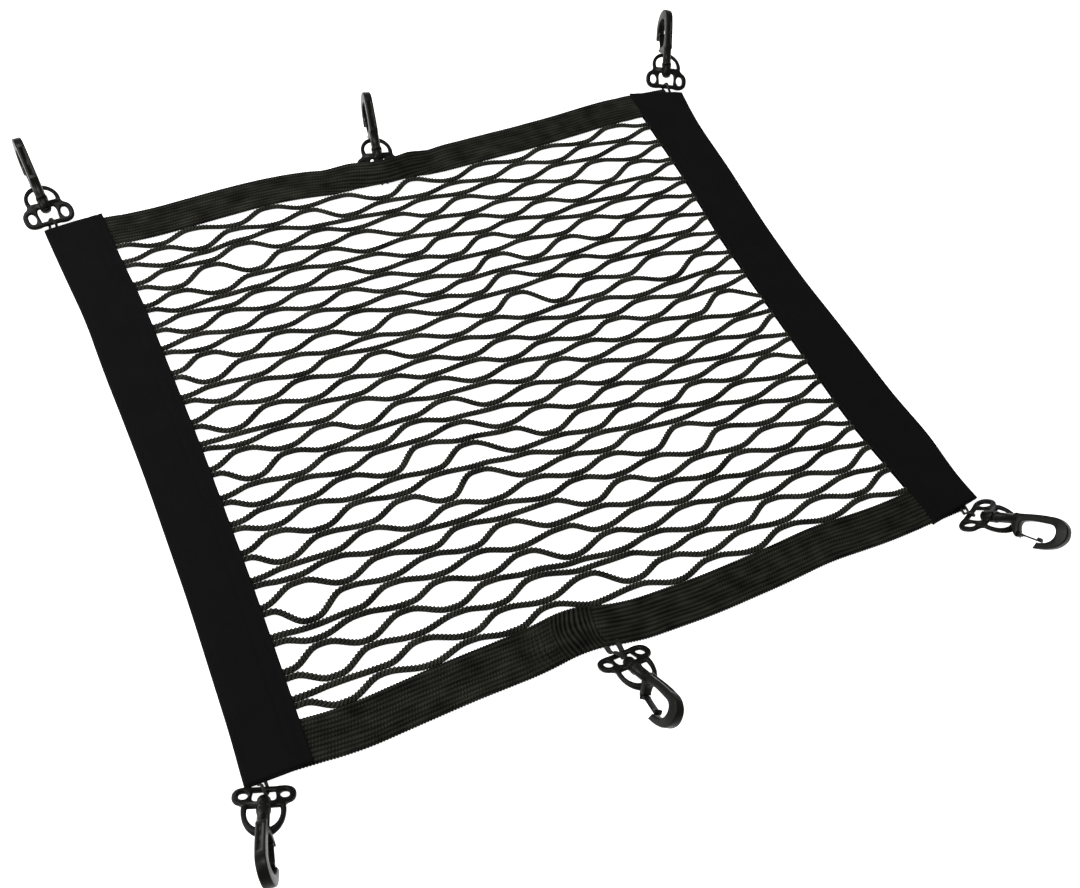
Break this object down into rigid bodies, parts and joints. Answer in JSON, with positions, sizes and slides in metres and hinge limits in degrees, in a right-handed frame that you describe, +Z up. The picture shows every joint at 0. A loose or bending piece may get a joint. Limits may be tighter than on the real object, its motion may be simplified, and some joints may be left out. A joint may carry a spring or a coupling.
{
  "type": "cargo net",
  "caption": "Knitted cargo net with wide ribbed bands, woven side tapes and swivelling snap hooks on moulded eye plates round its edge, lying flat.",
  "frame": {"origin": "middle of the part's box, on the surface that it lies on", "axes": "+X along the wide knitted bands to the right, +Y away from the viewer along the side tapes, +Z up"},
  "size_m": [0.737, 0.7652, 0.0704],
  "materials": {
    "knit": "matt knitted cord",
    "tape": "matt woven tape",
    "plastic": "moulded, slightly shiny",
    "gate": "moulded, slightly shiny",
    "elastic": "matt elastic cord"
  },
  "bodies": {
    "cloth": {"net": "knit", "tape_left": "tape", "tape_right": "tape", "plate_back_left": "plastic", "loop_back_left": "elastic", "plate_back_middle": "plastic", "loop_back_middle": "elastic", "plate_back_right": "plastic", "loop_back_right": "elastic", "plate_front_right": "plastic", "loop_front_right": "elastic", "plate_front_middle": "plastic", "loop_front_middle": "elastic", "plate_front_left": "plastic", "loop_front_left": "elastic"},
    "hook_back_left": {"hook_back_left": "plastic"},
    "gate_back_left": {"gate_back_left": "gate"},
    "hook_back_middle": {"hook_back_middle": "plastic"},
    "gate_back_middle": {"gate_back_middle": "gate"},
    "hook_back_right": {"hook_back_right": "plastic"},
    "gate_back_right": {"gate_back_right": "gate"},
    "hook_front_right": {"hook_front_right": "plastic"},
    "gate_front_right": {"gate_front_right": "gate"},
    "hook_front_middle": {"hook_front_middle": "plastic"},
    "gate_front_middle": {"gate_front_middle": "gate"},
    "hook_front_left": {"hook_front_left": "plastic"},
    "gate_front_left": {"gate_front_left": "gate"}
  },
  "joints": [
    {"name": "swivel_back_left", "type": "hinge", "parent": "cloth", "child": "hook_back_left", "pos_m": [-0.34636, 0.3069, 0.0109], "axis": [-0.0744, 0.9454, 0.3173], "continuous": true},
    {"name": "gate_hinge_back_left", "type": "hinge", "parent": "hook_back_left", "child": "gate_back_left", "pos_m": [-0.34907, 0.34142, 0.00825], "axis": [0.9969, 0.0785, 0], "range_deg": [0, 25], "stiffness_Nm_per_rad": 0.1},
    {"name": "swivel_back_middle", "type": "hinge", "parent": "cloth", "child": "hook_back_middle", "pos_m": [-0.02406, 0.2806, 0.0104], "axis": [0.1809, 0.9309, 0.3173], "continuous": true},
    {"name": "gate_hinge_back_middle", "type": "hinge", "parent": "hook_back_middle", "child": "gate_back_middle", "pos_m": [-0.01791, 0.31468, 0.00776], "axis": [0.9831, -0.1798, -0.0331], "range_deg": [0, 25], "stiffness_Nm_per_rad": 0.1},
    {"name": "swivel_back_right", "type": "hinge", "parent": "cloth", "child": "hook_back_right", "pos_m": [0.33624, 0.3126, 0.0137], "axis": [0.3727, 0.8179, 0.4384], "continuous": true},
    {"name": "gate_hinge_back_right", "type": "hinge", "parent": "hook_back_right", "child": "gate_back_right", "pos_m": [0.34846, 0.34505, 0.01578], "axis": [0.9277, -0.3391, -0.1561], "range_deg": [0, 25], "stiffness_Nm_per_rad": 0.1},
    {"name": "swivel_front_right", "type": "hinge", "parent": "cloth", "child": "hook_front_right", "pos_m": [0.33164, -0.3098, 0.0181], "axis": [0.2983, -0.6546, 0.6947], "continuous": true},
    {"name": "gate_hinge_front_right", "type": "hinge", "parent": "hook_front_right", "child": "gate_front_right", "pos_m": [0.33486, -0.34066, 0.03371], "axis": [-0.8313, 0.1795, 0.5261], "range_deg": [0, 25], "stiffness_Nm_per_rad": 0.1},
    {"name": "swivel_front_middle", "type": "hinge", "parent": "cloth", "child": "hook_front_middle", "pos_m": [-0.04356, -0.315, 0.0173], "axis": [0.0137, -0.7825, 0.6225], "continuous": true},
    {"name": "gate_hinge_front_middle", "type": "hinge", "parent": "hook_front_middle", "child": "gate_front_middle", "pos_m": [-0.04995, -0.34736, 0.02816], "axis": [-0.8626, 0.3056, 0.4031], "range_deg": [0, 25], "stiffness_Nm_per_rad": 0.1},
    {"name": "swivel_front_left", "type": "hinge", "parent": "cloth", "child": "hook_front_left", "pos_m": [-0.34316, -0.3108, 0.017], "axis": [-0.253, -0.7348, 0.6293], "continuous": true},
    {"name": "gate_hinge_front_left", "type": "hinge", "parent": "hook_front_left", "child": "gate_front_left", "pos_m": [-0.34994, -0.34331, 0.02716], "axis": [-0.9626, 0.1258, -0.2402], "range_deg": [0, 25], "stiffness_Nm_per_rad": 0.1}
  ]
}
